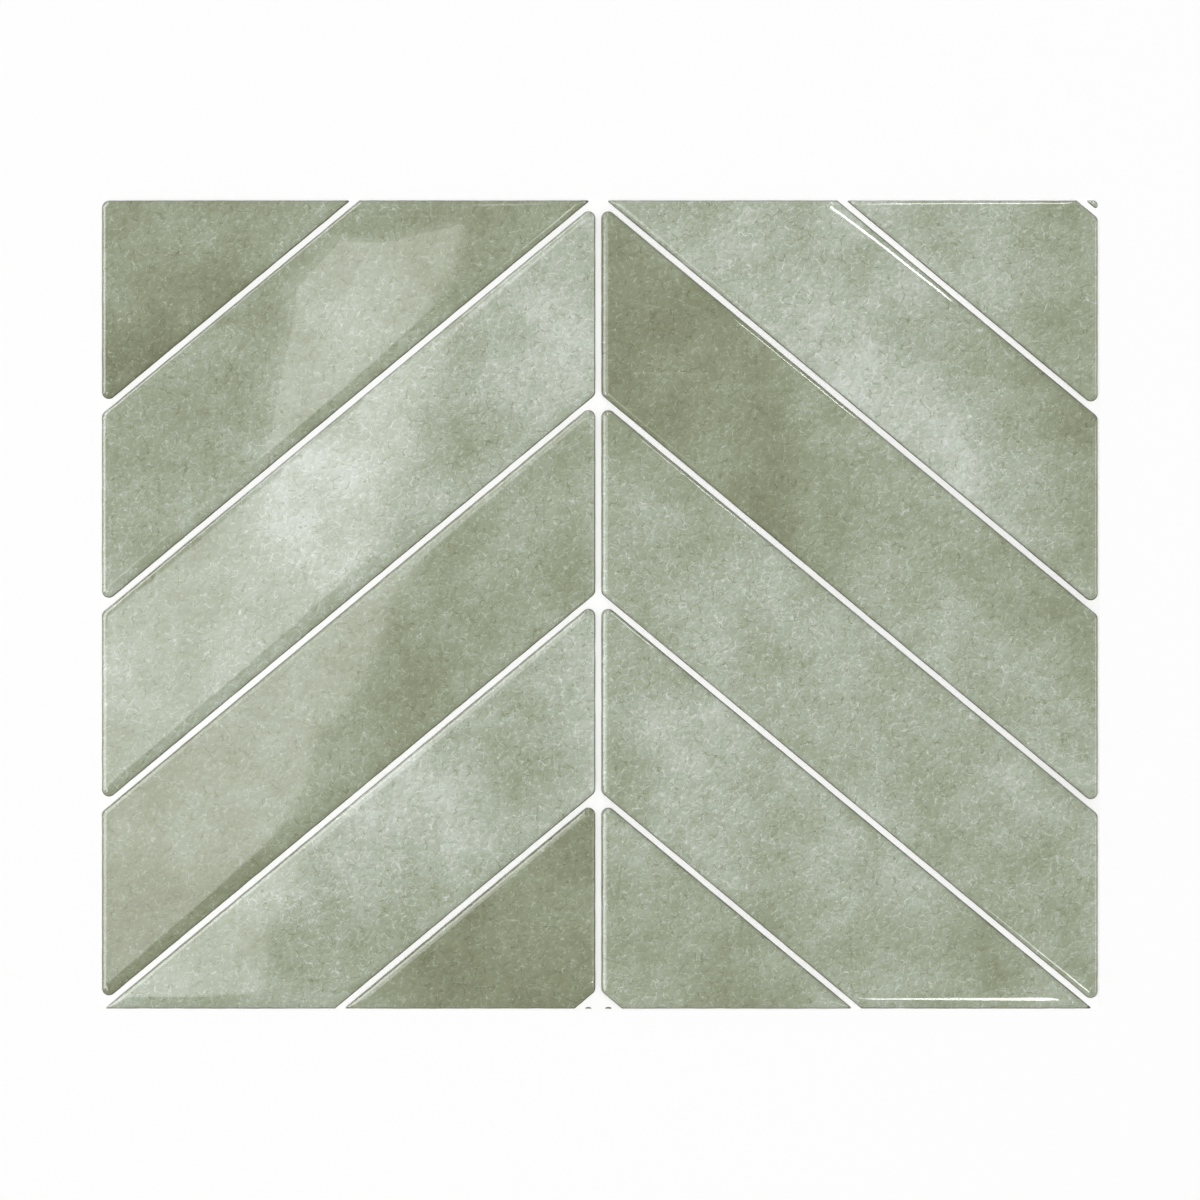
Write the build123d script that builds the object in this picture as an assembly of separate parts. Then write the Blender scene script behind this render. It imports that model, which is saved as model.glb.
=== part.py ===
from build123d import *
import math
import os

# The sheet lies face up on its release liner: X runs along its long side, the chevrons
# point along +Y, and Z = 0 is the underside of the liner.
SHEET_LENGTH = 280.0
SHEET_DEPTH = 227.3
SHEET_CORNER_RADIUS = 2.5
LINER_THICKNESS = 0.12
FILM_THICKNESS = 0.6

# Chevron layout: two columns of slanted pads, one each side of the middle joint, which the
# cutting die leaves a little left of the sheet's centre.
CHEVRON_ANGLE = 39.7
ROW_PITCH = 55.75
FIRST_APEX_RISE = 0.55
SLANTED_JOINT = 1.5
MIDDLE_JOINT = 1.6
MIDDLE_JOINT_SHIFT = -0.42
SIDE_MARGIN = 0.35
END_MARGIN = 0.3

# Poured gel pads: a drop that wets its outline, rises over the rim width and is then level.
GEL_HEIGHT = 1.6
RIM_WIDTH = 4.5
CORNER_RADIUS = 2.0
CUT_CORNER_RADIUS = 0.3
LEVEL_CORNER_RADIUS = 4.0
BEAD_STEEPNESS = 0.6
RIM_ANGLES = (15, 30, 45, 60, 75, 90)
# Most of a small pad's half width that its rim takes, and most of a side that the rounding
# of one corner takes.
RIM_SHARE = 0.8
ROUNDING_SHARE = 0.45

# Smallest things worth pouring: a side of a pad, a bead cut off by the sheet's end, and a
# chip in the sheet's corner, below which the next pad fills the corner.
SHORTEST_SIDE = 1.5
SMALLEST_BEAD_RISE = 0.2
SMALLEST_CHIP_RISE = 2.6

FILM_TOP = LINER_THICKNESS + FILM_THICKNESS
SLOPE = math.tan(math.radians(CHEVRON_ANGLE))
HALF_JOINT_RISE = SLANTED_JOINT / 2 / math.cos(math.radians(CHEVRON_ANGLE))
GEL_NEAR_X = MIDDLE_JOINT / 2
GEL_END_Y = SHEET_DEPTH / 2 - END_MARGIN
GEL_SHEET_CORNER_RADIUS = SHEET_CORNER_RADIUS - min(SIDE_MARGIN, END_MARGIN)


def cut_by_end(polygon, end_y):
    """Part of a convex polygon between Y = 0 and the sheet's end at end_y."""
    side = math.copysign(1, end_y)
    kept = []
    for start, end in zip(polygon, polygon[1:] + polygon[:1]):
        start_over = side * (start[1] - end_y)
        end_over = side * (end[1] - end_y)
        if start_over <= 0:
            kept.append(start)
        if start_over * end_over < 0:
            share = start_over / (start_over - end_over)
            kept.append((start[0] + share * (end[0] - start[0]), end_y))
    return kept


def without_slivers(polygon):
    """The polygon with each side that is too short to mould drawn together to its middle."""
    polygon = list(polygon)
    while len(polygon) > 3:
        lengths = [math.dist(polygon[i - 1], corner) for i, corner in enumerate(polygon)]
        shortest = lengths.index(min(lengths))
        if lengths[shortest] >= SHORTEST_SIDE:
            break
        before, after = polygon[shortest - 1], polygon[shortest]
        polygon[shortest] = ((before[0] + after[0]) / 2, (before[1] + after[1]) / 2)
        polygon.pop(shortest - 1)
    return polygon


def half_angle_tangents(polygon):
    """Tangent of half the inside angle at each corner."""
    tangents = []
    for i, corner in enumerate(polygon):
        before, after = polygon[i - 1], polygon[(i + 1) % len(polygon)]
        back = math.atan2(before[1] - corner[1], before[0] - corner[0])
        forth = math.atan2(after[1] - corner[1], after[0] - corner[0])
        angle = abs(math.remainder(back - forth, 2 * math.pi))
        tangents.append(math.tan(angle / 2))
    return tangents


def inset_room(polygon):
    """How far every side can move inwards before the first one shrinks to nothing."""
    tangents = half_angle_tangents(polygon)
    return min(
        math.dist(polygon[i - 1], corner) / (1 / tangents[i - 1] + 1 / tangents[i])
        for i, corner in enumerate(polygon)
    )


def inset(polygon, distance):
    """The counter-clockwise polygon with every side moved inwards."""
    moved = []
    for i, (corner, tangent) in enumerate(zip(polygon, half_angle_tangents(polygon))):
        after = polygon[(i + 1) % len(polygon)]
        side = math.dist(corner, after)
        along_x, along_y = (after[0] - corner[0]) / side, (after[1] - corner[1]) / side
        reach = distance / tangent
        moved.append((
            corner[0] + reach * along_x - distance * along_y,
            corner[1] + reach * along_y + distance * along_x,
        ))
    return moved


def rounded_face(polygon, radii):
    """A face on the polygon, each corner rounded as far as its two sides allow."""
    limited = []
    for i, (corner, tangent) in enumerate(zip(polygon, half_angle_tangents(polygon))):
        before, after = polygon[i - 1], polygon[(i + 1) % len(polygon)]
        room = ROUNDING_SHARE * min(math.dist(corner, before), math.dist(corner, after))
        limited.append(min(radii[i], room * tangent))
    return make_face(FilletPolyline(*polygon, radius=limited, close=True))


def joint_height(number):
    """Where the middle line of a slanted joint, counted down from the first, meets X = 0."""
    return SHEET_DEPTH / 2 + FIRST_APEX_RISE - number * ROW_PITCH


def slanted_cell(upper_joint, lower_joint, reach):
    """The cell between two joints of a column that reaches so far out, cut by no end."""
    top = joint_height(upper_joint) - HALF_JOINT_RISE
    bottom = joint_height(lower_joint) + HALF_JOINT_RISE
    return [
        (GEL_NEAR_X, top - SLOPE * GEL_NEAR_X),
        (GEL_NEAR_X, bottom - SLOPE * GEL_NEAR_X),
        (reach, bottom - SLOPE * reach),
        (reach, top - SLOPE * reach),
    ]


def corner_radius(corner, reach):
    """Sharp where the sheet's end cuts a pad, round at the sheet's corner and where moulded."""
    if abs(abs(corner[1]) - GEL_END_Y) > CUT_CORNER_RADIUS:
        return CORNER_RADIUS
    if reach - corner[0] > CUT_CORNER_RADIUS:
        return CUT_CORNER_RADIUS
    return GEL_SHEET_CORNER_RADIUS


def rim_steps(rim_width):
    """Inset and rise of each section, on a quarter of an ellipse that starts off steep."""
    first = math.radians(RIM_ANGLES[0])
    height = min(GEL_HEIGHT, BEAD_STEEPNESS * rim_width)
    steps = []
    for degrees in RIM_ANGLES:
        angle = math.radians(degrees)
        steps.append((
            rim_width * (1 - math.cos(angle) / math.cos(first)),
            height * (math.sin(angle) - math.sin(first)) / (1 - math.sin(first)),
        ))
    return steps


def domed_pad(cell, reach):
    """A pad with a level top and a rim that rounds over, lofted from its outline inwards."""
    rim_width = min(RIM_WIDTH, RIM_SHARE * inset_room(cell))
    base_radii = [corner_radius(corner, reach) for corner in cell]
    sections = []
    for distance, rise in rim_steps(rim_width):
        share = distance / RIM_WIDTH
        radii = [radius + share * (LEVEL_CORNER_RADIUS - radius) for radius in base_radii]
        sections.append(Pos(0, 0, FILM_TOP + rise) * rounded_face(inset(cell, distance), radii))
    return loft(sections, ruled=True)


def end_bead_outline(uncut):
    """Triangle on what the sheet's end leaves of a cell's rounded top corner, or None."""
    fall = CORNER_RADIUS / half_angle_tangents(uncut)[0]
    rise = uncut[0][1] - fall + CORNER_RADIUS + GEL_END_Y
    if rise < SMALLEST_BEAD_RISE:
        return None
    within = min(rise, CORNER_RADIUS)
    half_width = math.sqrt(within * (2 * CORNER_RADIUS - within))
    middle = GEL_NEAR_X + CORNER_RADIUS
    return [
        (middle - half_width, -GEL_END_Y),
        (middle + half_width, -GEL_END_Y),
        (middle, rise - GEL_END_Y),
    ]


def column_of_pads(reach):
    """The pads of a column whose middle joint is at X = 0, by name, from the top down.

    Rows whose apex is on the sheet are row_1 and on; those above them are top_1 and on, upwards.
    """
    pads = {}
    lower_joint = 1 - math.ceil(SLOPE * reach / ROW_PITCH)
    corner_filled = False
    while joint_height(lower_joint - 1) > -SHEET_DEPTH / 2:
        name = f"row_{lower_joint}" if lower_joint > 0 else f"top_{1 - lower_joint}"
        uncut = slanted_cell(lower_joint - (2 if corner_filled else 1), lower_joint, reach)
        cell = cut_by_end(cut_by_end(uncut, GEL_END_Y), -GEL_END_Y)
        corner_filled = False
        lower_joint += 1
        if len(cell) < 3:
            continue
        cell = without_slivers(cell)
        lowest = min(corner[1] for corner in cell)
        if inset_room(cell) > CORNER_RADIUS:
            pads[name] = domed_pad(cell, reach)
        elif lowest > 0:
            corner_filled = GEL_END_Y - lowest < SMALLEST_CHIP_RISE
            if not corner_filled:
                pads[name] = domed_pad(cell, reach)
        else:
            outline = end_bead_outline(uncut)
            if outline is not None:
                pads[name] = domed_pad(outline, reach)
    return pads


sheet_outline = RectangleRounded(SHEET_LENGTH, SHEET_DEPTH, SHEET_CORNER_RADIUS)
nodes = {
    "release_liner": extrude(sheet_outline, LINER_THICKNESS),
    "backing_film": Pos(0, 0, LINER_THICKNESS) * extrude(sheet_outline, FILM_THICKNESS),
}
to_middle_joint = Pos(MIDDLE_JOINT_SHIFT, 0, 0)
right_reach = SHEET_LENGTH / 2 - MIDDLE_JOINT_SHIFT - SIDE_MARGIN
left_reach = SHEET_LENGTH / 2 + MIDDLE_JOINT_SHIFT - SIDE_MARGIN
for name, pad in column_of_pads(right_reach).items():
    nodes[f"gel_right_{name}"] = to_middle_joint * pad
for name, pad in column_of_pads(left_reach).items():
    nodes[f"gel_left_{name}"] = to_middle_joint * mirror(pad, about=Plane.YZ)

os.makedirs("parts", exist_ok=True)
for name, solid in nodes.items():
    export_step(solid, f"parts/{name}.step")
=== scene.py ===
import bpy
import numpy as np
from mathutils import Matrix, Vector
from mathutils.geometry import delaunay_2d_cdt


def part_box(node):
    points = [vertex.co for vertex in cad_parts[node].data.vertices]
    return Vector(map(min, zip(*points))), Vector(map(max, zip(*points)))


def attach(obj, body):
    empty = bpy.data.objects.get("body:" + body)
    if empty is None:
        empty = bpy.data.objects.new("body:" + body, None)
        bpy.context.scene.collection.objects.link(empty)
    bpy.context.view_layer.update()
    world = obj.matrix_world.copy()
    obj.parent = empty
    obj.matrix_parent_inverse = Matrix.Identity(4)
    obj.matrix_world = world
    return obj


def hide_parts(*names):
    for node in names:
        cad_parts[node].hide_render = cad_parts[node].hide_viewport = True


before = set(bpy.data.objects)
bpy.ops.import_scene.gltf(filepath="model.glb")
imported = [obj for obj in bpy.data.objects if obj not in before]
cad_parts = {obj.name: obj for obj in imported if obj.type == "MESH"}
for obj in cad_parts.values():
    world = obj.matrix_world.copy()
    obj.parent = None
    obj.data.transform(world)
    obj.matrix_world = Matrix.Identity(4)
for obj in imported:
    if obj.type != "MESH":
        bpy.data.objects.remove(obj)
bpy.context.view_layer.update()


# Release liner: a thin sheet of white paper, siliconed on one face, that keeps the
# adhesive under the tile clean. It is cut with the sheet and peels off from a corner.

MM = 0.001
RELIEF_DEPTH = 0.01 * MM
LINER_WHITE = (0.83, 0.82, 0.78, 1.0)
LINER_FIBRE = (0.70, 0.68, 0.62, 1.0)
LINER_ROUGHNESS = 0.62
FIBRE_SHADE = 0.35
FIBRE_RELIEF = 0.3


def put(socket, value):
    """Sets a socket to a value, or links it to another node's output."""
    if isinstance(value, bpy.types.NodeSocket):
        socket.id_data.links.new(value, socket)
    else:
        socket.default_value = value


def reckon(tree, operation, *values, clamp=False):
    """Adds one step of arithmetic on numbers and gives its result."""
    step = tree.nodes.new("ShaderNodeMath")
    step.operation = operation
    step.use_clamp = clamp
    for socket, value in zip(step.inputs, values):
        put(socket, value)
    return step.outputs[0]


def reckon_vector(tree, operation, *values):
    """Adds one step of arithmetic on vectors and gives its result."""
    step = tree.nodes.new("ShaderNodeVectorMath")
    step.operation = operation
    sockets = [socket for socket in step.inputs if socket.enabled]
    for socket, value in zip(sockets, values):
        put(socket, value)
    return next(socket for socket in step.outputs if socket.enabled)


def fade(tree, value, start, end, low=1.0, high=0.0):
    """A smooth change from low to high while the value goes from start to end."""
    step = tree.nodes.new("ShaderNodeMapRange")
    step.interpolation_type = "SMOOTHSTEP"
    for name, setting in zip(
        ("Value", "From Min", "From Max", "To Min", "To Max"),
        (value, start, end, low, high),
    ):
        put(step.inputs[name], setting)
    return step.outputs["Result"]


def tint(tree, amount, under, over):
    """Lays one colour over another by an amount."""
    step = tree.nodes.new("ShaderNodeMix")
    step.data_type = "RGBA"
    for name, value in (("Factor", amount), ("A", under), ("B", over)):
        put(step.inputs[name], value)
    return step.outputs["Result"]


def effect(name, sizes, result):
    """Starts a shader node group that takes a place and named sizes."""
    group = bpy.data.node_groups.new(name, "ShaderNodeTree")
    group.interface.new_socket(
        name="Place", in_out="INPUT", socket_type="NodeSocketVector"
    )
    for size, value in sizes.items():
        socket = group.interface.new_socket(
            name=size, in_out="INPUT", socket_type="NodeSocketFloat"
        )
        socket.default_value = value
    group.interface.new_socket(
        name=result, in_out="OUTPUT", socket_type="NodeSocketFloat"
    )
    inputs = group.nodes.new("NodeGroupInput").outputs
    outputs = group.nodes.new("NodeGroupOutput").inputs
    return group, inputs, outputs


def place_effect(tree, group, place, **sizes):
    """Puts an effect's group into a material with its own sizes."""
    step = tree.nodes.new("ShaderNodeGroup")
    step.node_tree = group
    put(step.inputs["Place"], place)
    for name, value in sizes.items():
        put(step.inputs[name.replace("_", " ").capitalize()], value)
    return step.outputs[0]


def finish_of(name, roughness):
    """Starts a material and gives its tree, its shader and the place in millimetres."""
    material = bpy.data.materials.new(name)
    material.use_nodes = True
    tree = material.node_tree
    shader = tree.nodes["Principled BSDF"]
    shader.inputs["Roughness"].default_value = roughness
    coordinates = tree.nodes.new("ShaderNodeTexCoord").outputs["Object"]
    place = reckon_vector(tree, "MULTIPLY", coordinates, (1 / MM, 1 / MM, 1 / MM))
    return material, tree, shader, place


def noise(tree, place, scale, detail):
    """Adds flat noise: what is printed or pressed on a sheet has no depth."""
    step = tree.nodes.new("ShaderNodeTexNoise")
    step.noise_dimensions = "2D"
    put(step.inputs["Vector"], place)
    put(step.inputs["Scale"], scale)
    put(step.inputs["Detail"], detail)
    return step


def cells_of(tree, place, scale, feature="F1"):
    """Adds a flat pattern of cells."""
    step = tree.nodes.new("ShaderNodeTexVoronoi")
    step.voronoi_dimensions = "2D"
    step.feature = feature
    put(step.inputs["Vector"], place)
    put(step.inputs["Scale"], scale)
    return step


def apart(group, given, spread):
    """Moves an effect's place by its seed, so that no two of its uses are alike."""
    away = reckon_vector(group, "SCALE", (*spread, 0.0))
    put(away.node.inputs["Scale"], given["Seed"])
    return reckon_vector(group, "ADD", given["Place"], away)


def bent_by(group, place, waves, detail, amount):
    """Bends a place with noise, so that what is drawn on it isn't straight."""
    bend = noise(group, place, waves, detail).outputs["Color"]
    bend = reckon_vector(group, "SUBTRACT", bend, (0.5, 0.5, 0.5))
    bend = reckon_vector(group, "SCALE", bend)
    put(bend.node.inputs["Scale"], amount)
    return reckon_vector(group, "ADD", place, bend)


def let_through(group, marks, gaps, share, softness):
    """Keeps about a share of an effect's marks, where a second pattern is high."""
    limit = reckon(group, "SUBTRACT", 0.8, reckon(group, "MULTIPLY", share, 0.6))
    end = reckon(group, "ADD", limit, softness)
    return reckon(group, "MULTIPLY", marks, fade(group, gaps, limit, end, 0.0, 1.0))


def relief(tree, shader, height, strength):
    """Lets a pattern stand up a little from the surface."""
    bump = tree.nodes.new("ShaderNodeBump")
    bump.inputs["Strength"].default_value = strength
    bump.inputs["Distance"].default_value = RELIEF_DEPTH
    put(bump.inputs["Height"], height)
    put(shader.inputs["Normal"], bump.outputs["Normal"])


# Short curved strokes, like fibres in paper or brush hairs in a glaze: the borders of
# bent cells, kept only where a second, softer pattern lets them through.
strokes, given, made = effect(
    "short_strokes",
    {"Length": 3.0, "Width": 0.25, "Share": 0.5, "Seed": 0.0},
    "Strokes",
)
shifted = apart(strokes, given, (17.0, 29.0))
bent = bent_by(
    strokes,
    shifted,
    waves=reckon(strokes, "DIVIDE", 1.3, given["Length"]),
    detail=2.0,
    amount=reckon(strokes, "MULTIPLY", given["Length"], 0.8),
)
per_length = reckon(strokes, "DIVIDE", 1.0, given["Length"])
cells = cells_of(strokes, bent, per_length, "DISTANCE_TO_EDGE")
reach = reckon(strokes, "MULTIPLY", cells.outputs["Distance"], given["Length"])
line = fade(strokes, reach, 0.0, given["Width"])
gaps = noise(strokes, shifted, reckon(strokes, "DIVIDE", 1.1, given["Length"]), 1.0)
kept = let_through(strokes, line, gaps.outputs["Fac"], given["Share"], softness=0.08)
put(made["Strokes"], kept)

liner_paper, tree, shader, place = finish_of("siliconed_liner_paper", LINER_ROUGHNESS)
fibres = place_effect(tree, strokes, place, length=2.2, width=0.2, share=0.6, seed=3.0)
fibre_shade = reckon(tree, "MULTIPLY", fibres, FIBRE_SHADE)
put(shader.inputs["Base Color"], tint(tree, fibre_shade, LINER_WHITE, LINER_FIBRE))
relief(tree, shader, fibres, FIBRE_RELIEF)
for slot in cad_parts["release_liner"].material_slots:
    slot.material = liner_paper


# Backing film: the white plastic sheet that carries the whole tile. The glaze is printed
# on it, the adhesive is under it, and between the pads it shows as the white joints.

FILM_WHITE = (0.962, 0.964, 0.952, 1.0)
FILM_SHADE = (0.91, 0.91, 0.885, 1.0)
FILM_ROUGHNESS = 0.42
GRAIN_ROUGHNESS = 0.05
GRAIN_RELIEF = 0.15
MEAN_YELLOWING = 0.15
UNEVEN_YELLOWING = 0.35

# Soft clouds: a smooth uneven tone, from -1 to 1, whose patches are about one size.
clouds, given, made = effect(
    "soft_clouds", {"Size": 10.0, "Detail": 2.0, "Seed": 0.0}, "Tone"
)
cloud = noise(
    clouds,
    apart(clouds, given, (61.0, 47.0)),
    reckon(clouds, "DIVIDE", 0.6, given["Size"]),
    given["Detail"],
)
off_mean = reckon(clouds, "SUBTRACT", cloud.outputs["Fac"], 0.5)
put(made["Tone"], reckon(clouds, "MULTIPLY", off_mean, 4.0))

white_film, tree, shader, place = finish_of("white_printing_film", FILM_ROUGHNESS)
yellowing = place_effect(tree, clouds, place, size=18.0, detail=3.0, seed=2.0)
yellowing = reckon(
    tree, "MULTIPLY_ADD", yellowing, UNEVEN_YELLOWING, MEAN_YELLOWING, clamp=True
)
put(shader.inputs["Base Color"], tint(tree, yellowing, FILM_WHITE, FILM_SHADE))
grain = place_effect(tree, clouds, place, size=0.6, detail=2.0, seed=5.0)
roughness = reckon(tree, "MULTIPLY_ADD", grain, GRAIN_ROUGHNESS, FILM_ROUGHNESS)
put(shader.inputs["Roughness"], roughness)
relief(tree, shader, grain, GRAIN_RELIEF)
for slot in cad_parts["backing_film"].material_slots:
    slot.material = white_film


# Glaze print: the grey-green wash under the gel, printed on the film like watercolour
# on a ceramic glaze. It is cloudy, with fine pale and dark strokes and a few specks.

# The glaze by its wash: from thick and dark, below 0, to thin and pale, above 1.
GLAZE = {
    -0.5: (0.165, 0.175, 0.100, 1.0),
    0.0: (0.243, 0.267, 0.166, 1.0),
    0.33: (0.305, 0.342, 0.238, 1.0),
    0.66: (0.385, 0.430, 0.335, 1.0),
    1.0: (0.520, 0.565, 0.490, 1.0),
    1.5: (0.680, 0.715, 0.645, 1.0),
}
SPECK_PALE = (0.66, 0.71, 0.62, 1.0)
# Colours of the painted shade along the gel's rim and of its painted brown outline.
RIM_SHADE_OLIVE = (0.165, 0.175, 0.100, 1.0)
OUTLINE_SHADE_BROWN = (0.075, 0.070, 0.040, 1.0)
# The glaze's layers add to the wash or, below 0, take from it. Sizes are in millimetres.
# Clouds: size, detail, seed and strength.
CLOUD_LAYERS = (
    (34.0, 1.0, 1.0, 0.26),
    (9.0, 2.0, 2.0, 0.18),
    (2.2, 3.0, 3.0, 0.08),
)
# Dabs: size, bend, evenness, seed and strength.
DAB_LAYERS = (
    (1.9, 0.35, 0.70, 1.0, 0.13),
    (1.0, 0.35, 0.75, 2.0, 0.10),
)
# Strokes and curls: length, width, share, seed and strength.
PALE_STROKES = (2.6, 0.18, 0.48, 1.0, 0.40)
LONG_CURLS = (3.4, 0.18, 0.50, 3.0, 0.46)
SHORT_CURLS = (2.2, 0.17, 0.46, 5.0, 0.40)
DARK_STROKES = (3.2, 0.20, 0.46, 4.0, -0.48)
SPECKS_PER_MM = 0.14
SPECK_FADE = (0.015, 0.035)
SPECK_SHADE = 0.40
# Strength of the painted shade where the gel thins out at its rim.
RIM_SHADE = 0.22
# The brown outline is painted shade for the dark edge of the clear gel's steep rim. It
# fades out over these distances from the pad's edge, in millimetres, and is half as strong
# on the rims that face up and left, towards the light.
OUTLINE_FADE = (0.12, 0.42)
UP_AND_LEFT = (-0.64, 0.77, 0.0)
MEAN_OUTLINE_STRENGTH = 0.85
UNEVEN_OUTLINE_STRENGTH = 0.35
PRINT_ROUGHNESS = 0.55
GLOSS_ROUGHNESS = 0.05
GLOSS_IOR = 1.5


def attribute(tree, name, output):
    """Reads a value that the poured pad carries on its mesh."""
    step = tree.nodes.new("ShaderNodeAttribute")
    step.attribute_name = name
    return step.outputs[output]


# Curls: short arcs round scattered points, as a curved brush mark leaves them.
curls, given, made = effect(
    "short_curls",
    {"Length": 3.0, "Width": 0.2, "Share": 0.5, "Seed": 0.0},
    "Curls",
)
shifted = apart(curls, given, (23.0, 37.0))
bent = bent_by(
    curls,
    shifted,
    waves=reckon(curls, "DIVIDE", 0.9, given["Length"]),
    detail=1.0,
    amount=reckon(curls, "MULTIPLY", given["Length"], 1.2),
)
centres = cells_of(curls, bent, reckon(curls, "DIVIDE", 1.0, given["Length"]))
off_ring = reckon(curls, "SUBTRACT", centres.outputs["Distance"], 0.42)
off_ring = reckon(curls, "MULTIPLY", reckon(curls, "ABSOLUTE", off_ring), given["Length"])
ring = fade(curls, off_ring, 0.0, given["Width"])
gaps = noise(curls, shifted, reckon(curls, "DIVIDE", 1.4, given["Length"]), 1.0)
kept = let_through(curls, ring, gaps.outputs["Fac"], given["Share"], softness=0.1)
put(made["Curls"], kept)

# Dabs: touching spots of glaze, each of its own tone, paler on one side than the other.
dabs, given, made = effect(
    "brush_dabs", {"Size": 2.0, "Bend": 0.5, "Evenness": 0.5, "Seed": 0.0}, "Tone"
)
shifted = apart(dabs, given, (31.0, 53.0))
bending = reckon(dabs, "MULTIPLY", given["Size"], given["Bend"])
bent = bent_by(
    dabs,
    shifted,
    waves=reckon(dabs, "DIVIDE", 0.6, given["Size"]),
    detail=0.5,
    amount=reckon(dabs, "MULTIPLY", bending, 4.0),
)
spots = cells_of(dabs, bent, reckon(dabs, "DIVIDE", 1.0, given["Size"]))
off_centre = reckon_vector(dabs, "SUBTRACT", bent, spots.outputs["Position"])
sunward = dabs.nodes.new("ShaderNodeVectorMath")
sunward.operation = "DOT_PRODUCT"
put(sunward.inputs[0], off_centre)
sunward.inputs[1].default_value = (-0.9, 1.3, 0.0)
slope = reckon(dabs, "DIVIDE", sunward.outputs["Value"], given["Size"])
own_tone = dabs.nodes.new("ShaderNodeSeparateColor")
put(own_tone.inputs[0], spots.outputs["Color"])
own_tone = reckon(dabs, "MULTIPLY_ADD", own_tone.outputs[0], 2.0, -1.0)
uneven = reckon(dabs, "SUBTRACT", 1.0, given["Evenness"])
even_tone = reckon(dabs, "MULTIPLY", slope, given["Evenness"])
uneven_tone = reckon(dabs, "MULTIPLY", own_tone, uneven)
put(made["Tone"], reckon(dabs, "ADD", even_tone, uneven_tone))

glazed_gel, tree, shader, place = finish_of("glaze_print_under_gel", PRINT_ROUGHNESS)
place = reckon_vector(tree, "ADD", place, attribute(tree, "print_place", "Vector"))
wash = attribute(tree, "wash", "Fac")
for size, detail, seed, strength in CLOUD_LAYERS:
    tone = place_effect(tree, clouds, place, size=size, detail=detail, seed=seed)
    wash = reckon(tree, "MULTIPLY_ADD", tone, strength, wash)
for size, bending, evenness, seed, strength in DAB_LAYERS:
    tone = place_effect(
        tree, dabs, place, size=size, bend=bending, evenness=evenness, seed=seed
    )
    wash = reckon(tree, "MULTIPLY_ADD", tone, strength, wash)
for group, (length, width, share, seed, strength) in (
    (strokes, PALE_STROKES),
    (curls, LONG_CURLS),
    (curls, SHORT_CURLS),
    (strokes, DARK_STROKES),
):
    hair = place_effect(
        tree, group, place, length=length, width=width, share=share, seed=seed
    )
    wash = reckon(tree, "MULTIPLY_ADD", hair, strength, wash)
thickest, thinnest = min(GLAZE), max(GLAZE)
glaze_range = thinnest - thickest
glaze = tree.nodes.new("ShaderNodeValToRGB")
for stop, colour in zip(glaze.color_ramp.elements, (GLAZE[thickest], GLAZE[thinnest])):
    stop.color = colour
for wash_tone, colour in list(GLAZE.items())[1:-1]:
    position = (wash_tone - thickest) / glaze_range
    glaze.color_ramp.elements.new(position).color = colour
on_ramp = reckon(tree, "MULTIPLY_ADD", wash, 1.0 / glaze_range, -thickest / glaze_range)
put(glaze.inputs["Fac"], on_ramp)
colour = glaze.outputs["Color"]
speck = cells_of(tree, place, SPECKS_PER_MM)
speckle = fade(tree, speck.outputs["Distance"], *SPECK_FADE)
colour = tint(tree, reckon(tree, "MULTIPLY", speckle, SPECK_SHADE), colour, SPECK_PALE)

# Painted shade: where the gel thins out at its rim, the print is painted darker, with a
# fine brown outline, standing in for the shade and dark edge that the clear gel's steep
# rim shows.
rim_shade = reckon(tree, "MULTIPLY", attribute(tree, "thinness", "Fac"), RIM_SHADE)
colour = tint(tree, rim_shade, colour, RIM_SHADE_OLIVE)
outline_shade = fade(tree, attribute(tree, "rim_distance", "Fac"), *OUTLINE_FADE)
# Painted shade by the light's side: the outline is half as strong on rims that face up and
# left.
facing = tree.nodes.new("ShaderNodeVectorMath")
facing.operation = "DOT_PRODUCT"
put(facing.inputs[0], tree.nodes.new("ShaderNodeNewGeometry").outputs["Normal"])
facing.inputs[1].default_value = UP_AND_LEFT
kept_outline = reckon(tree, "MAXIMUM", facing.outputs["Value"], 0.0)
kept_outline = reckon(tree, "MULTIPLY_ADD", kept_outline, -0.5, 1.0, clamp=True)
outline_shade = reckon(tree, "MULTIPLY", outline_shade, kept_outline)
# The outline's painted shade is stronger in some places than in others, at random.
outline_strength = place_effect(tree, clouds, place, size=5.0, detail=1.0, seed=6.0)
outline_strength = reckon(tree, "MULTIPLY_ADD", outline_strength, UNEVEN_OUTLINE_STRENGTH, MEAN_OUTLINE_STRENGTH, clamp=True)
outline_shade = reckon(tree, "MULTIPLY", outline_shade, outline_strength)
colour = tint(tree, outline_shade, colour, OUTLINE_SHADE_BROWN)
put(shader.inputs["Base Color"], colour)
shader.inputs["Specular IOR Level"].default_value = 0.0
shader.inputs["Coat Weight"].default_value = 1.0
shader.inputs["Coat Roughness"].default_value = GLOSS_ROUGHNESS
shader.inputs["Coat IOR"].default_value = GLOSS_IOR


# Gel pads: clear resin poured on the print in slanted cells, as wide as the joints let
# it run. It levels under its own weight, so each pad is flat with a soft, rounded rim.

GEL_HEIGHT = 1.46 * MM
# How far the gel takes to rise at its rims: those that face left, the upright ends and
# the edge that is cut along the sheet's top.
STEEP_SPREAD = 0.36 * MM
END_SPREAD = 0.34 * MM
CUT_SPREAD = 0.2 * MM
CROWN_HEIGHT = 0.03 * MM
CROWN_REACH = 20.7 * MM
WAVE_HEIGHT = 0.020 * MM
WAVE_LENGTH = 26.0 * MM
# A rim's facing, as a share of the way left, sideways or up, over which it changes.
LEFT_FACING = (-0.50, -0.15)
UPRIGHT = (0.80, 0.98)
TOPMOST = (0.90, 0.99)
SHARP_FOLD = 1.2
WELD = 0.004 * MM
NO_DISTANCE = 0.001 * MM
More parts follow.
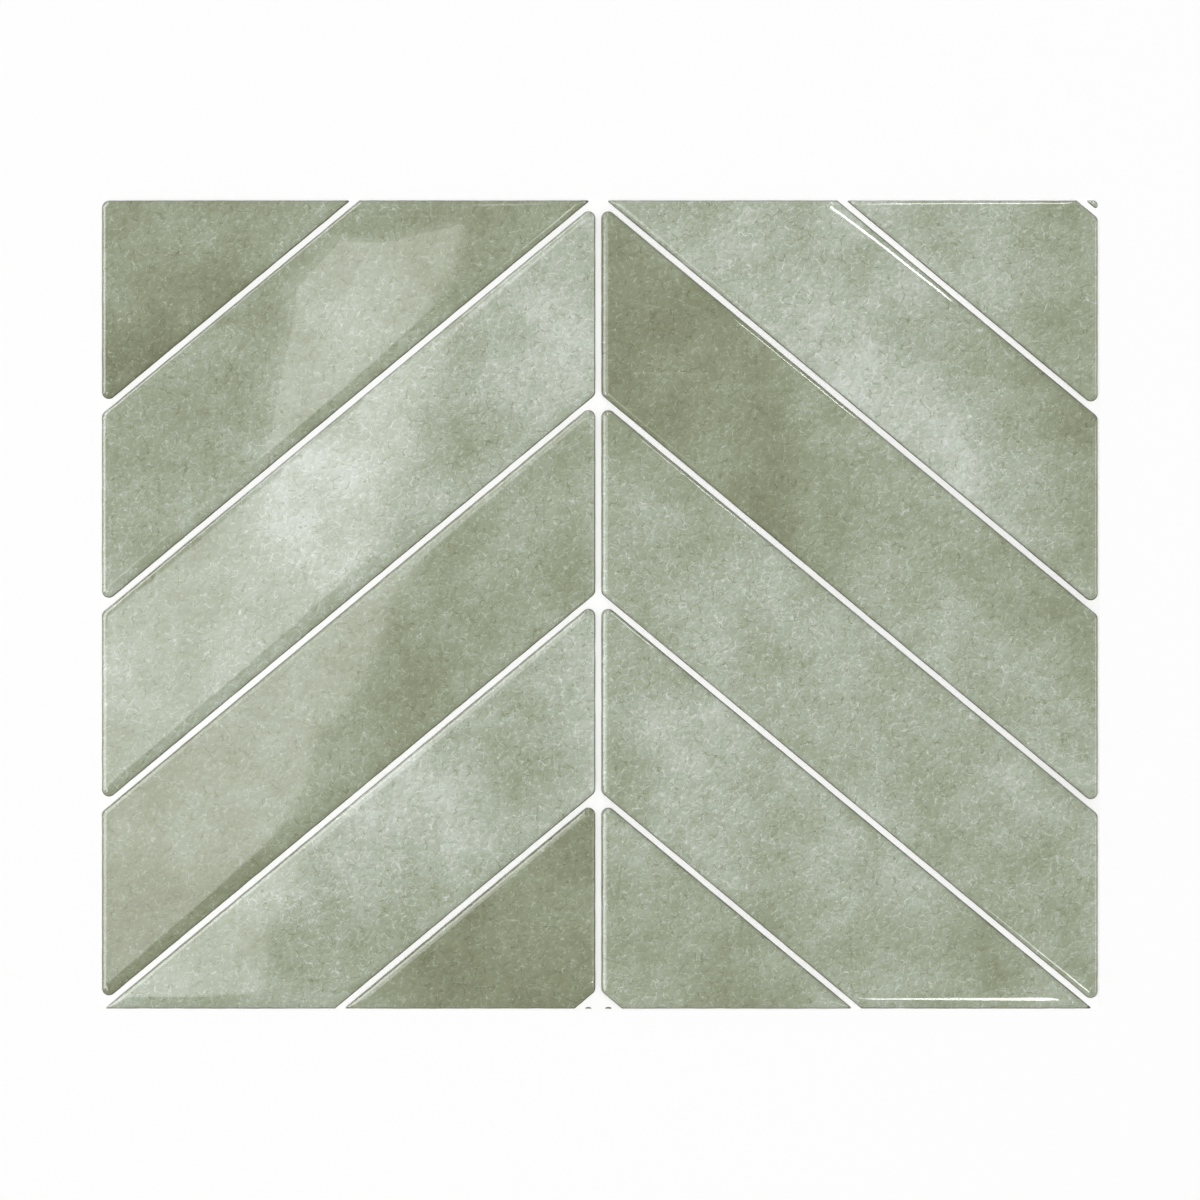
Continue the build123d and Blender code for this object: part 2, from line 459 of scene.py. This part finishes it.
# The edge of the gel runs in and out by this much, in millimetres, in waves that cross
# the sheet in two directions.
RUN_IN = 0.03
RUN_WAVES = ((0.43, 0.61), (-0.31, 0.17))
# The foot of a pad is what lies this close to its lowest point, in millimetres.
FOOT_DEPTH = 0.01

pour = bpy.data.node_groups.new("pour_gel", "GeometryNodeTree")
pour.interface.new_socket(
    name="Sheet", in_out="INPUT", socket_type="NodeSocketGeometry"
)
pour_inputs = {}
for name, kind in (
    ("Sides", "NodeSocketInt"),
    ("Height", "NodeSocketFloat"),
    ("Rim Spread", "NodeSocketFloat"),
    ("End Spread", "NodeSocketFloat"),
    ("Crown Height", "NodeSocketFloat"),
    ("Crown Reach", "NodeSocketFloat"),
    ("Wave Height", "NodeSocketFloat"),
    ("Wave Length", "NodeSocketFloat"),
    ("Lean", "NodeSocketVector"),
    ("Washes", "NodeSocketVector"),
    ("Wash Lean", "NodeSocketVector"),
    ("Seed", "NodeSocketFloat"),
    ("Print Seed", "NodeSocketFloat"),
    ("Finish", "NodeSocketMaterial"),
):
    socket = pour.interface.new_socket(name=name, in_out="INPUT", socket_type=kind)
    pour_inputs[name] = socket.identifier
pour.interface.new_socket(name="Pad", in_out="OUTPUT", socket_type="NodeSocketGeometry")


def gel_step(kind, settings=None, **inputs):
    """Adds a geometry node to the pouring tree."""
    step = pour.nodes.new("GeometryNode" + kind)
    for name, value in (settings or {}).items():
        setattr(step, name, value)
    for name, value in inputs.items():
        put(step.inputs[name.replace("_", " ").title().replace("Id", "ID")], value)
    return step


sheet = pour.nodes.new("NodeGroupInput").outputs
position = gel_step("InputPosition").outputs[0]
side = gel_step("InputNamedAttribute", {"data_type": "INT"}, name="side").outputs[0]

# The outline's edges carry the number of their side, and the distance to each side in
# turn says how far the gel has risen there: the rises multiply, so corners stay soft.
on_outline = pour.nodes.new("FunctionNodeCompare")
on_outline.data_type = "INT"
on_outline.operation = "GREATER_THAN"
put(on_outline.inputs[2], side)
on_outline.inputs[3].default_value = 0
outline = gel_step("SeparateGeometry", {"domain": "EDGE"})
put(outline.inputs["Geometry"], sheet["Sheet"])
put(outline.inputs["Selection"], on_outline.outputs[0])

first = gel_step("RepeatInput")
last = gel_step("RepeatOutput")
first.pair_with_output(last)
last.repeat_items.clear()
for name in ("Rise", "Crown", "Nearest"):
    last.repeat_items.new("FLOAT", name)
put(first.inputs["Iterations"], sheet["Sides"])
put(first.inputs["Rise"], 1.0)
put(first.inputs["Crown"], 1.0)
put(first.inputs["Nearest"], 1.0)
near = gel_step("Proximity", {"target_element": "EDGES"})
put(near.inputs["Geometry"], outline.outputs["Selection"])
put(near.inputs["Group ID"], side)
put(
    near.inputs["Sample Group ID"],
    reckon(pour, "ADD", first.outputs["Iteration"], 1.0),
)
distance = near.outputs["Distance"]
# The gel ran to the right while it was still soft, so the rims that face left are steep,
# and so are the upright ends. The edge along the sheet's top is cut, not rounded.
towards = pour.nodes.new("ShaderNodeSeparateXYZ")
put(towards.inputs[0], reckon_vector(pour, "SUBTRACT", near.outputs["Position"], position))
some_distance = reckon(pour, "MAXIMUM", distance, NO_DISTANCE)
rightward = reckon(pour, "DIVIDE", towards.outputs["X"], some_distance)
sideways = reckon(pour, "ABSOLUTE", towards.outputs["X"])
sideways = reckon(pour, "DIVIDE", sideways, some_distance)
upward = reckon(pour, "DIVIDE", towards.outputs["Y"], some_distance)
spread = fade(pour, rightward, *LEFT_FACING, STEEP_SPREAD, sheet["Rim Spread"])
spread = fade(pour, sideways, *UPRIGHT, spread, sheet["End Spread"])
spread = fade(pour, upward, *TOPMOST, spread, CUT_SPREAD)
fall = reckon(pour, "DIVIDE", reckon(pour, "MULTIPLY", distance, -1.0), spread)
rise = reckon(pour, "SUBTRACT", 1.0, reckon(pour, "EXPONENT", fall))
inward = reckon(pour, "DIVIDE", distance, sheet["Crown Reach"], clamp=True)
inward = reckon(pour, "SUBTRACT", 1.0, inward)
dome = reckon(pour, "SUBTRACT", 1.0, reckon(pour, "MULTIPLY", inward, inward))
put(last.inputs["Rise"], reckon(pour, "MULTIPLY", first.outputs["Rise"], rise))
put(last.inputs["Crown"], reckon(pour, "MULTIPLY", first.outputs["Crown"], dome))
put(last.inputs["Nearest"], reckon(pour, "MINIMUM", first.outputs["Nearest"], distance))

# The cured top isn't quite flat: a low crown, a slight lean and long, shallow waves.
bounds = gel_step("BoundBox", geometry=sheet["Sheet"])
middle = reckon_vector(pour, "ADD", bounds.outputs["Min"], bounds.outputs["Max"])
middle = reckon_vector(pour, "MULTIPLY", middle, (0.5, 0.5, 0.5))
off_middle = reckon_vector(pour, "SUBTRACT", position, middle)
lean = pour.nodes.new("ShaderNodeVectorMath")
lean.operation = "DOT_PRODUCT"
put(lean.inputs[0], off_middle)
put(lean.inputs[1], sheet["Lean"])
wave = pour.nodes.new("ShaderNodeTexNoise")
wave.noise_dimensions = "4D"
put(wave.inputs["Vector"], position)
put(wave.inputs["W"], sheet["Seed"])
put(wave.inputs["Scale"], reckon(pour, "DIVIDE", 1.0, sheet["Wave Length"]))
wave.inputs["Detail"].default_value = 1.0
ripple = reckon(pour, "SUBTRACT", wave.outputs["Fac"], 0.5)
ripple = reckon(pour, "MULTIPLY", ripple, sheet["Wave Height"])
level = reckon(pour, "ADD", sheet["Height"], lean.outputs["Value"])
level = reckon(pour, "ADD", level, reckon(pour, "MULTIPLY", ripple, 4.0))
height = reckon(pour, "MULTIPLY", level, last.outputs["Rise"])
dome_height = reckon(pour, "MULTIPLY", last.outputs["Crown"], sheet["Crown Height"])
height = reckon(pour, "ADD", height, dome_height)
lift = pour.nodes.new("ShaderNodeCombineXYZ")
put(lift.inputs["Z"], height)

# The print's wash changes from the pad's left end over its middle to its right end.
span = reckon_vector(pour, "SUBTRACT", bounds.outputs["Max"], bounds.outputs["Min"])
along = reckon_vector(pour, "DIVIDE", off_middle, span)
parts = pour.nodes.new("ShaderNodeSeparateXYZ")
put(parts.inputs[0], along)
washes = pour.nodes.new("ShaderNodeSeparateXYZ")
put(washes.inputs[0], sheet["Washes"])
wash = fade(
    pour, parts.outputs["X"], -0.5, 0.0, washes.outputs["X"], washes.outputs["Y"]
)
rightmost = reckon(pour, "SUBTRACT", washes.outputs["Z"], washes.outputs["Y"])
rightmost = fade(pour, parts.outputs["X"], 0.0, 0.5, 0.0, rightmost)
wash = reckon(pour, "ADD", wash, rightmost)
across = pour.nodes.new("ShaderNodeVectorMath")
across.operation = "DOT_PRODUCT"
put(across.inputs[0], off_middle)
put(across.inputs[1], sheet["Wash Lean"])
wash = reckon(pour, "ADD", wash, across.outputs["Value"])
place_shift = reckon_vector(pour, "SCALE", (113.0, 71.0, 0.0))
put(place_shift.node.inputs["Scale"], sheet["Print Seed"])

carried = sheet["Sheet"]
for name, kind, value in (
    ("rim_distance", "FLOAT", reckon(pour, "DIVIDE", last.outputs["Nearest"], MM)),
    ("thinness", "FLOAT", reckon(pour, "SUBTRACT", 1.0, last.outputs["Rise"])),
    ("wash", "FLOAT", wash),
    ("print_place", "FLOAT_VECTOR", place_shift),
):
    store = gel_step("StoreNamedAttribute", {"data_type": kind})
    put(store.inputs["Geometry"], carried)
    put(store.inputs["Name"], name)
    put(store.inputs["Value"], value)
    carried = store.outputs["Geometry"]

raised = gel_step("SetPosition", geometry=carried, offset=lift.outputs[0])
underside = gel_step("FlipFaces", mesh=carried)
closed = gel_step("JoinGeometry")
put(closed.inputs["Geometry"], raised.outputs["Geometry"])
put(closed.inputs["Geometry"], underside.outputs["Mesh"])
welded = gel_step("MergeByDistance", geometry=closed.outputs[0], distance=WELD)
fold = gel_step("InputMeshEdgeAngle").outputs["Unsigned Angle"]
smooth = gel_step("SetShadeSmooth", geometry=welded.outputs[0])
creased = gel_step("SetShadeSmooth", {"domain": "EDGE"}, geometry=smooth.outputs[0])
put(creased.inputs["Selection"], reckon(pour, "GREATER_THAN", fold, SHARP_FOLD))
put(creased.inputs["Shade Smooth"], False)
realized = gel_step("RealizeInstances", geometry=creased.outputs[0])
finished = gel_step("SetMaterial", geometry=realized.outputs[0])
put(finished.inputs["Material"], sheet["Finish"])
put(pour.nodes.new("NodeGroupOutput").inputs["Pad"], finished.outputs[0])


def pad_outline(node, step, shortest_side):
    """The foot of a pad, anticlockwise in millimetres, with each stretch's side."""
    points = np.array([vertex.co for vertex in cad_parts[node].data.vertices]) / MM
    foot = points[points[:, 2] < points[:, 2].min() + FOOT_DEPTH]
    foot = np.unique(np.round(foot[:, :2], 4), axis=0)
    off = foot - foot.mean(axis=0)
    foot = foot[np.argsort(np.arctan2(off[:, 1], off[:, 0]))]
    runs = np.roll(foot, -1, axis=0) - foot
    lengths = np.hypot(runs[:, 0], runs[:, 1])
    headings = runs / lengths[:, None]
    straight = headings[lengths > shortest_side]
    outline, sides = [], []
    for start, run, length, heading in zip(foot, runs, lengths, headings):
        pieces = max(1, round(length / step))
        inward = np.array((-heading[1], heading[0]))
        for piece in range(pieces):
            point = start + run * piece / pieces
            waves = [np.sin(point @ direction) for direction in RUN_WAVES]
            outline.append(point + inward * (1.0 + waves[0] * waves[1]) * RUN_IN)
        sides += [int(np.argmax(straight @ heading)) + 1] * pieces
    return np.array(outline), sides, len(straight)


def room(points, outline):
    """How far each point is from the outline."""
    runs = np.roll(outline, -1, axis=0) - outline
    off = points[:, None, :] - outline[None, :, :]
    part = np.clip((off * runs).sum(axis=2) / (runs * runs).sum(axis=1), 0.0, 1.0)
    return np.hypot(*np.moveaxis(off - part[:, :, None] * runs, 2, 0)).min(axis=1)


def ring_points(outline, rings):
    """Points in rings along the inside of the outline, every other ring staggered."""
    ahead = np.roll(outline, -1, axis=0) - np.roll(outline, 1, axis=0)
    inside = np.stack((-ahead[:, 1], ahead[:, 0]), axis=1)
    inside /= np.hypot(inside[:, 0], inside[:, 1])[:, None]
    points = []
    for number, ring in enumerate(rings):
        along = outline + inside * ring
        if number % 2 == 0:
            along = (along + np.roll(along, -1, axis=0)) / 2
        points.append(along[room(along, outline) > ring * 0.98])
    return points


def grid_points(outline, spacing, margin):
    """Points in a square grid over the outline's inside, clear of its rim."""
    low, high = outline.min(axis=0), outline.max(axis=0)
    columns = np.arange(low[0], high[0], spacing)
    rows = np.arange(low[1], high[1], spacing)
    grid = np.stack(np.meshgrid(columns, rows), axis=2).reshape(-1, 2)
    runs = np.roll(outline, -1, axis=0) - outline
    within = np.ones(len(grid), bool)
    for start, run in zip(outline, runs):
        off = grid - start
        within &= run[0] * off[:, 1] - run[1] * off[:, 0] > 0
    grid = grid[within]
    return [grid[room(grid, outline) > margin]] if len(grid) else []


def cell_mesh(name, points, sides, floor_z):
    """A flat mesh of the points, whose outline's edges carry their side's number."""
    count = len(sides)
    borders = [(index, (index + 1) % count) for index in range(count)]
    flat = delaunay_2d_cdt(
        [Vector(point) for point in points.tolist()], borders, [], 1, 1e-6
    )
    corners = [(point.x * MM, point.y * MM, floor_z) for point in flat[0]]
    cell = bpy.data.meshes.new(name)
    cell.from_pydata(corners, [], [tuple(face) for face in flat[2]])
    side_of = cell.attributes.new("side", "INT", "EDGE")
    for edge in cell.edges:
        start, end = sorted(edge.vertices)
        if end < count and end - start in (1, count - 1):
            side_of.data[edge.index].value = sides[start if end - start == 1 else end]
    return cell


def pour_pad(node, piece_name, step, rings, shortest_side, **settings):
    """Meshes a pad's cell, closest at its rim, and pours the gel on it."""
    outline, sides, side_count = pad_outline(node, step, shortest_side)
    spacing = 1.6 * step
    points = np.concatenate(
        [outline]
        + ring_points(outline, rings)
        + grid_points(outline, spacing, rings[-1] + 0.6 * spacing)
    )
    cell = cell_mesh(piece_name + "_cell", points, sides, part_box(node)[0].z)
    pad = bpy.data.objects.new(piece_name + "_pour", cell)
    bpy.context.scene.collection.objects.link(pad)
    pouring = pad.modifiers.new("pour", "NODES")
    pouring.node_group = pour
    for name, value in dict(settings, Sides=side_count, Finish=glazed_gel).items():
        pouring[pour_inputs[name.replace("_", " ")]] = value
    evaluated = pad.evaluated_get(bpy.context.evaluated_depsgraph_get())
    piece = bpy.data.objects.new(piece_name, bpy.data.meshes.new_from_object(evaluated))
    bpy.context.scene.collection.objects.link(piece)
    bpy.data.objects.remove(pad)
    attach(piece, "root")
    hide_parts(node)


PAD_STEP = 0.8
PAD_SHORTEST_SIDE = 1.3
PAD_RINGS = (0.12, 0.28, 0.48, 0.7, 0.95, 1.2, 1.5, 1.85, 2.25, 2.7, 3.3, 4.1, 5.0)
# Each pad's wash at its left end, middle and right end, its change across the pad per
# metre, the spread of the rim in millimetres, the lean of the top, and the print's seed.
LEVEL = (0.0, 0.0, 0.0)
PADS = {
    "left_top_2": ((0.04, -0.04, 0.28), LEVEL, 0.82, LEVEL, 145),
    "left_top_1": ((0.52, 0.32, 0.20), LEVEL, 0.82, (0.0019, -0.0023, 0.0), 26),
    "left_row_1": ((0.23, 0.66, 0.78), LEVEL, 0.82, (-0.0019, 0.0023, 0.0), 111),
    "left_row_2": ((-0.01, 0.30, 0.36), LEVEL, 0.82, LEVEL, 88),
    "left_row_3": ((0.42, 0.66, 0.70), LEVEL, 0.82, LEVEL, 77),
    "left_row_4": ((0.21, -0.03, -0.07), LEVEL, 0.82, LEVEL, 150),
    "right_top_2": ((0.92, 0.66, 0.32), LEVEL, 0.62, LEVEL, 79),
    "right_top_1": ((0.51, 1.03, 0.67), (-9.0, -11.0, 0.0), 0.95, LEVEL, 200),
    "right_row_1": ((-0.11, 0.42, 0.39), LEVEL, 0.50, LEVEL, 81),
    "right_row_2": ((0.39, 0.62, 0.33), LEVEL, 0.50, LEVEL, 10),
    "right_row_3": ((0.58, 0.43, 0.45), LEVEL, 0.82, LEVEL, 47),
    "right_row_4": ((0.40, 0.23, 0.79), LEVEL, 0.62, LEVEL, 132),
}
for number, (name, settings) in enumerate(PADS.items(), start=1):
    wash_tones, wash_lean, spread, lean, print_seed = settings
    pour_pad(
        "gel_" + name,
        "glazed_pad_" + name,
        step=PAD_STEP,
        rings=PAD_RINGS,
        shortest_side=PAD_SHORTEST_SIDE,
        Height=GEL_HEIGHT,
        Rim_Spread=spread * MM,
        End_Spread=END_SPREAD,
        Crown_Height=CROWN_HEIGHT,
        Crown_Reach=CROWN_REACH,
        Wave_Height=WAVE_HEIGHT,
        Wave_Length=WAVE_LENGTH,
        Lean=lean,
        Washes=wash_tones,
        Wash_Lean=wash_lean,
        Seed=float(number),
        Print_Seed=float(print_seed),
    )


# Beads in the corners: where the pattern's last cell is cut off by the edge of the sheet,
# only a drop of gel is left on the print. It stands lower than the pads.

BEAD_STEP = 0.12
BEAD_SHORTEST_SIDE = 0.4
BEAD_RINGS = (0.04, 0.1, 0.18)
# Each bead's height and the spread of its rim, in millimetres, and its wash.
BEADS = {
    "right_top_3": (0.42, 0.30, (0.5, 0.5, 0.5)),
    "left_row_5": (0.16, 0.10, (0.2, 0.2, 0.2)),
    "right_row_5": (0.16, 0.10, (0.2, 0.2, 0.2)),
}
for number, (name, settings) in enumerate(BEADS.items(), start=20):
    bead_height, spread, wash_tones = settings
    pour_pad(
        "gel_" + name,
        "glazed_bead_" + name,
        step=BEAD_STEP,
        rings=BEAD_RINGS,
        shortest_side=BEAD_SHORTEST_SIDE,
        Height=bead_height * MM,
        Rim_Spread=spread * MM,
        End_Spread=spread * MM,
        Crown_Height=0.0,
        Crown_Reach=CROWN_REACH,
        Wave_Height=0.0,
        Wave_Length=WAVE_LENGTH,
        Lean=LEVEL,
        Washes=wash_tones,
        Wash_Lean=LEVEL,
        Seed=float(number),
        Print_Seed=float(number),
    )


# Studio: the tile lies face up on a white table, photographed from straight above. One
# long softbox hangs beside the camera on the left, and low strips light the rims.

CAMERA_HEIGHT = 1.4
CARD_HEIGHT = 0.05
STRIP_HEIGHT = 0.1
PICTURE_WIDTH = 336.7 * MM
PICTURE_CENTRE = (0.06 * MM, 1.26 * MM)
TABLE_REACH = 4.0
TABLE_HEIGHT = -0.2 * MM
TABLE_WHITE = (0.93, 0.93, 0.93, 1.0)
TABLE_GLOW = 0.8
ROOM_GLOW = 0.82
SOFTBOX_GLOW = 4.3
RIGHT_STRIP_GLOW = 5.0
UPPER_STRIP_GLOW = 20.0
LOWER_STRIP_GLOW = 18.0
SPOT_GLOW = 20.0
LEFT_WALL_GLOW = 9.0
RIGHT_WALL_GLOW = 6.0
# The panels by their corners, in millimetres: the two low strips where they hang, the
# others where the level gel mirrors them.
SOFTBOX = (
    (-8, 235),
    (-34, 130),
    (-42, 90),
    (-48, 40),
    (-57, 8),
    (-78, -38),
    (-93, -92),
    (-111, -160),
    (-300, -120),
    (-300, 235),
)
CARD = (
    (-30, 150),
    (-36, 109),
    (-50, 106),
    (-62, 103),
    (-75, 103.5),
    (-87.2, 90),
    (-87.8, 82),
    (-90.0, 72),
    (-90.8, 66),
    (-93.2, 57),
    (-94.8, 37.7),
    (-139.4, 1.3),
    (-160, -16),
    (-160, 150),
)
CARD_VEILS = ((-2.0, 1.2), (0.0, 0.0), (2.0, -1.2))
CARD_COVER = 0.6
UPPER_STRIP = ((77, 129), (154.5, 148), (213, 219), (87, 141))
LOWER_STRIP = (
    (75, -130),
    (75, -132),
    (133, -144),
    (139, -140),
    (139, -128),
    (133, -126),
)
SPOT = ((255, -190), (255, -250), (300, -250), (300, -190))
LEFT_WALL = ((-301, -300), (-301, 420), (-2500, 4500), (-6000, 4500), (-6000, -3400))
RIGHT_WALL = ((1200, -700), (1200, 500), (6000, 3500), (6000, -3400))
RIGHT_STRIP = ((330, -110), (370, -110), (370, 130), (330, 130))

table = bpy.data.materials.new("white_table")
table.use_nodes = True
table_tree = table.node_tree
table_shader = table_tree.nodes["Principled BSDF"]
table_shader.inputs["Base Color"].default_value = TABLE_WHITE
table_shader.inputs["Roughness"].default_value = 0.9
table_shader.inputs["Specular IOR Level"].default_value = 0.0
glow = table_tree.nodes.new("ShaderNodeEmission")
ray = table_tree.nodes.new("ShaderNodeLightPath").outputs
seen = reckon(table_tree, "MAXIMUM", ray["Is Camera Ray"], ray["Is Glossy Ray"])
seen = reckon(table_tree, "MAXIMUM", seen, ray["Is Transmission Ray"])
white = table_tree.nodes.new("ShaderNodeMixShader")
put(white.inputs["Fac"], reckon(table_tree, "MULTIPLY", seen, TABLE_GLOW))
put(white.inputs[1], table_shader.outputs["BSDF"])
put(white.inputs[2], glow.outputs["Emission"])
put(table_tree.nodes["Material Output"].inputs["Surface"], white.outputs[0])
table_corners = [
    (side_x * TABLE_REACH, side_y * TABLE_REACH, TABLE_HEIGHT)
    for side_x, side_y in ((-1, -1), (1, -1), (1, 1), (-1, 1))
]
table_top = bpy.data.meshes.new("table_top")
table_top.from_pydata(table_corners, [], [(0, 1, 2, 3)])
table_top.materials.append(table)
table_object = bpy.data.objects.new("table_top", table_top)
bpy.context.scene.collection.objects.link(table_object)


def light_panel(name, corners, height, strength, lights_the_tile=True, cover=1.0):
    """A glowing panel over the tile, seen in the gloss but not by the camera."""
    glow_material = bpy.data.materials.new(name)
    glow_material.use_nodes = True
    nodes = glow_material.node_tree.nodes
    nodes.remove(nodes["Principled BSDF"])
    lamp = nodes.new("ShaderNodeEmission")
    lamp.inputs["Strength"].default_value = strength
    veil = nodes.new("ShaderNodeMixShader")
    veil.inputs["Fac"].default_value = cover
    put(veil.inputs[1], nodes.new("ShaderNodeBsdfTransparent").outputs["BSDF"])
    put(veil.inputs[2], lamp.outputs["Emission"])
    put(nodes["Material Output"].inputs["Surface"], veil.outputs["Shader"])
    mesh = bpy.data.meshes.new(name)
    mesh.from_pydata([(x, y, height) for x, y in corners], [], [range(len(corners))])
    mesh.materials.append(glow_material)
    panel = bpy.data.objects.new(name, mesh)
    bpy.context.scene.collection.objects.link(panel)
    panel.visible_camera = False
    panel.visible_shadow = False
    panel.visible_diffuse = lights_the_tile


def mirrored_at(height, points):
    """Where a panel's corners hang for the level gel to mirror them at these places."""
    reach = (1 + height / CAMERA_HEIGHT) * MM
    return [(x * reach, y * reach) for x, y in points]


light_panel("softbox", mirrored_at(CAMERA_HEIGHT, SOFTBOX), CAMERA_HEIGHT, SOFTBOX_GLOW)
# A grey card just over the first two pads keeps the softbox's glare off them. It is three
# veils, each a little to the side of the last, so that its edge is soft.
for veil, (aside, up) in enumerate(CARD_VEILS):
    light_panel(
        f"grey_card_{veil}",
        mirrored_at(CARD_HEIGHT, [(x + aside, y + up) for x, y in CARD]),
        CARD_HEIGHT + veil * MM,
        ROOM_GLOW,
        lights_the_tile=False,
        cover=CARD_COVER,
    )
# Two bright strips low over the sheet's top and bottom edges, each seen in one rim.
for name, strip, strength in (
    ("strip_upper_right", UPPER_STRIP, UPPER_STRIP_GLOW),
    ("strip_lower", LOWER_STRIP, LOWER_STRIP_GLOW),
):
    corners = [(x * MM, y * MM) for x, y in strip]
    light_panel(name, corners, STRIP_HEIGHT, strength, lights_the_tile=False)
# The room is bright far out on both sides too, as the steep rims show.
for name, panel, strength in (
    ("spot_lower_right", SPOT, SPOT_GLOW),
    ("bright_wall", LEFT_WALL, LEFT_WALL_GLOW),
    ("bright_wall_right", RIGHT_WALL, RIGHT_WALL_GLOW),
):
    corners = mirrored_at(CAMERA_HEIGHT, panel)
    light_panel(name, corners, CAMERA_HEIGHT, strength, lights_the_tile=False)
corners = mirrored_at(CAMERA_HEIGHT, RIGHT_STRIP)
light_panel("strip_right", corners, CAMERA_HEIGHT, RIGHT_STRIP_GLOW)

world = bpy.data.worlds.new("studio")
bpy.context.scene.world = world
world.use_nodes = True
background = world.node_tree.nodes["Background"]
background.inputs["Color"].default_value = (1.0, 1.0, 1.0, 1.0)
background.inputs["Strength"].default_value = ROOM_GLOW

camera_data = bpy.data.cameras.new("camera")
camera_data.lens = camera_data.sensor_width * CAMERA_HEIGHT / PICTURE_WIDTH
camera = bpy.data.objects.new("camera", camera_data)
camera.location = (*PICTURE_CENTRE, CAMERA_HEIGHT)
bpy.context.scene.collection.objects.link(camera)
bpy.context.scene.camera = camera
bpy.context.scene.view_settings.view_transform = "Standard"
